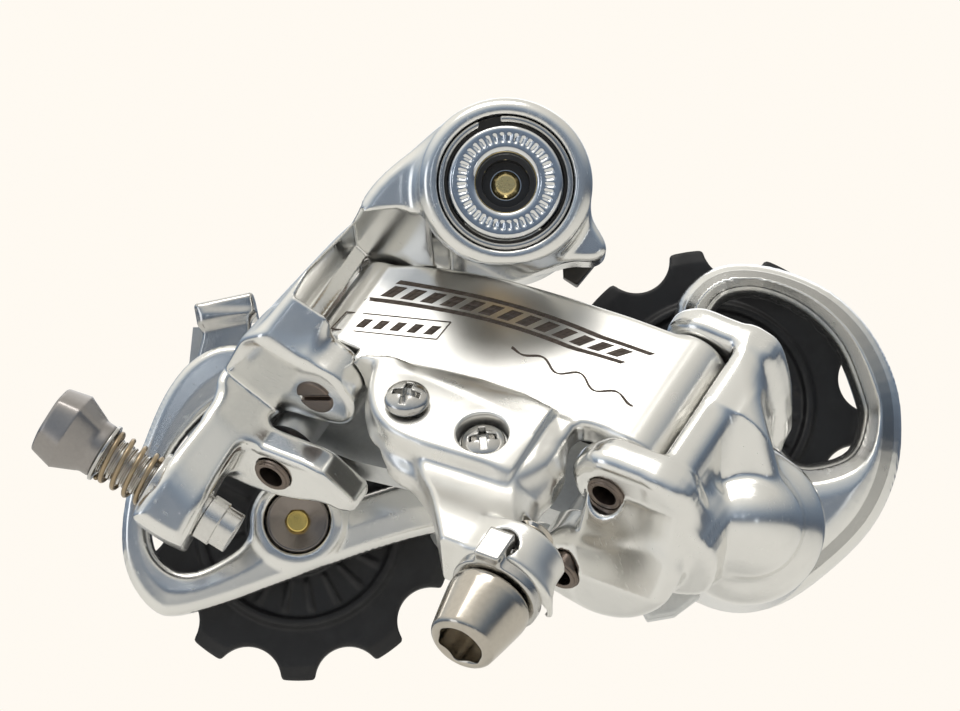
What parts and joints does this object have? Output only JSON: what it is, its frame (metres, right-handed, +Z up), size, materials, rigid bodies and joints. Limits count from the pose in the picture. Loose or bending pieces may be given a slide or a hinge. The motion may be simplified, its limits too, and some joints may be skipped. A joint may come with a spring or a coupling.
{
  "type": "bicycle rear derailleur",
  "caption": "Short-cage rear derailleur with a slant parallelogram, sprung cage, toothed pulleys, cable clamp and barrel adjuster.",
  "frame": {"origin": "on the hanger-bolt axis at the frame hanger's outer face", "axes": "+X forward along the bicycle, +Y inboard towards the wheel along the hanger bolt, +Z up"},
  "size_m": [0.1105, 0.0621, 0.0721],
  "materials": {
    "polished_aluminium": "bright polished forged aluminium, clear anodised, fine handling marks",
    "satin_aluminium": "satin anodised aluminium",
    "machined_aluminium": "fine turned aluminium",
    "knob_alloy": "grey anodised faceted knob",
    "polished_bolt": "mirror-polished turned bolt head",
    "clamp_steel": "turned and plated steel",
    "screw_steel": "bright plated steel",
    "pin_steel": "dark bronze-tinted hardened steel",
    "black_steel": "blackened steel",
    "spring_steel": "dark spring wire",
    "bronze_spring": "bronze-coloured spring wire",
    "cap_steel": "pressed steel dust cap",
    "brass": "plain brass",
    "bronze": "sintered bronze",
    "gold_bolt": "dark bolt disc with a gold-coloured core",
    "seal_plastic": "dark brown moulded seal",
    "pulley_plastic": "black moulded nylon with old chain grime",
    "badge_ink": "dark brown printed badge"
  },
  "bodies": {
    "hanger": {"hanger_bolt": "polished_bolt", "bolt_core": "brass", "stop_plate": "black_steel", "b_spring": "spring_steel"},
    "upper": {"upper_body": "polished_aluminium", "pin_a": "pin_steel", "pin_b": "pin_steel", "adjuster_collar": "machined_aluminium", "b_bush": "bronze", "b_washer": "black_steel", "b_circlip": "pin_steel"},
    "adjuster_slider": {"adjuster_washer": "machined_aluminium", "adjuster_spring": "bronze_spring"},
    "adjuster": {"adjuster_barrel": "machined_aluminium", "adjuster_knob": "knob_alloy"},
    "outer": {"outer_link": "polished_aluminium", "badge": "badge_ink", "cable_washer": "screw_steel"},
    "high_screw": {"limit_screw_high": "screw_steel"},
    "low_screw": {"limit_screw_low": "screw_steel"},
    "clamp": {"clamp_bolt": "clamp_steel"},
    "inner": {"inner_link": "satin_aluminium"},
    "lower": {"lower_body": "polished_aluminium", "pin_c": "pin_steel", "pin_d": "pin_steel", "p_spring": "spring_steel", "p_bush": "bronze", "cage_stop": "satin_aluminium", "link_spring": "spring_steel"},
    "cage": {"p_axle": "screw_steel", "p_seal": "seal_plastic", "cage_outer": "polished_aluminium", "cage_inner": "satin_aluminium", "chain_tab": "satin_aluminium", "pulley_bolt_guide": "gold_bolt", "pulley_bolt_tension": "gold_bolt", "pulley_nuts": "screw_steel", "guide_bush": "bronze", "tension_bush": "bronze"},
    "guide": {"guide_pulley": "pulley_plastic", "guide_caps": "cap_steel"},
    "tension": {"tension_pulley": "pulley_plastic", "tension_caps": "cap_steel"}
  },
  "joints": [
    {"name": "b_pivot", "type": "hinge", "parent": "hanger", "child": "upper", "pos_m": [0, 0, 0], "axis": [0, -1, 0], "range_deg": [0, 25], "stiffness_Nm_per_rad": 0.8, "springref_deg": -28.65},
    {"name": "link_swing", "type": "hinge", "parent": "upper", "child": "outer", "pos_m": [-0.0174, -0.007, -0.01583], "axis": [0.4717, 0.5, 0.7263], "range_deg": [0, 58], "stiffness_Nm_per_rad": 1, "springref_deg": -28.65},
    {"name": "inner_swing", "type": "hinge", "parent": "upper", "child": "inner", "pos_m": [-0.02341, -0.00249, -0.02604], "axis": [0.4717, 0.5, 0.7263], "range_deg": [0, 58]},
    {"name": "lower_swing", "type": "hinge", "parent": "outer", "child": "lower", "pos_m": [0.01908, -0.01911, -0.02843], "axis": [0.4717, 0.5, 0.7263], "range_deg": [-58, 0]},
    {"name": "cage_pivot", "type": "hinge", "parent": "lower", "child": "cage", "pos_m": [0.03, 0, -0.042], "axis": [0, -1, 0], "range_deg": [0, 110], "stiffness_Nm_per_rad": 0.3, "springref_deg": -34.38},
    {"name": "guide_spin", "type": "hinge", "parent": "cage", "child": "guide", "pos_m": [0.0265, 0.01, -0.0245], "axis": [0, 1, 0], "continuous": true},
    {"name": "tension_spin", "type": "hinge", "parent": "cage", "child": "tension", "pos_m": [-0.0265, 0.01, -0.04], "axis": [0, 1, 0], "continuous": true},
    {"name": "adjuster_slide", "type": "slide", "parent": "upper", "child": "adjuster_slider", "axis": [-0.848, 0, 0.5299], "range_m": [0, 0.003], "deforming": ["adjuster_spring"]},
    {"name": "adjuster_turn", "type": "hinge", "parent": "adjuster_slider", "child": "adjuster", "pos_m": [-0.05348, -0.012, -0.03064], "axis": [-0.848, 0, 0.5299], "range_deg": [0, 1352]},
    {"name": "high_screw_turn", "type": "hinge", "parent": "outer", "child": "high_screw", "pos_m": [-0.0121, -0.02292, -0.02841], "axis": [-0.0617, -0.803, 0.5928], "range_deg": [0, 360]},
    {"name": "low_screw_turn", "type": "hinge", "parent": "outer", "child": "low_screw", "pos_m": [-0.00283, -0.02654, -0.03235], "axis": [-0.0617, -0.803, 0.5928], "range_deg": [0, 360]},
    {"name": "clamp_turn", "type": "hinge", "parent": "outer", "child": "clamp", "pos_m": [-0.00136, -0.03748, -0.05207], "axis": [-0.4717, -0.5, -0.7263], "range_deg": [0, 360]}
  ],
  "couplings": [
    {"joint": "inner_swing", "follows": "link_swing", "ratio": 1},
    {"joint": "lower_swing", "follows": "link_swing", "ratio": -1},
    {"joint": "adjuster_turn", "follows": "adjuster_slide", "rad_per_m": 7854}
  ]
}
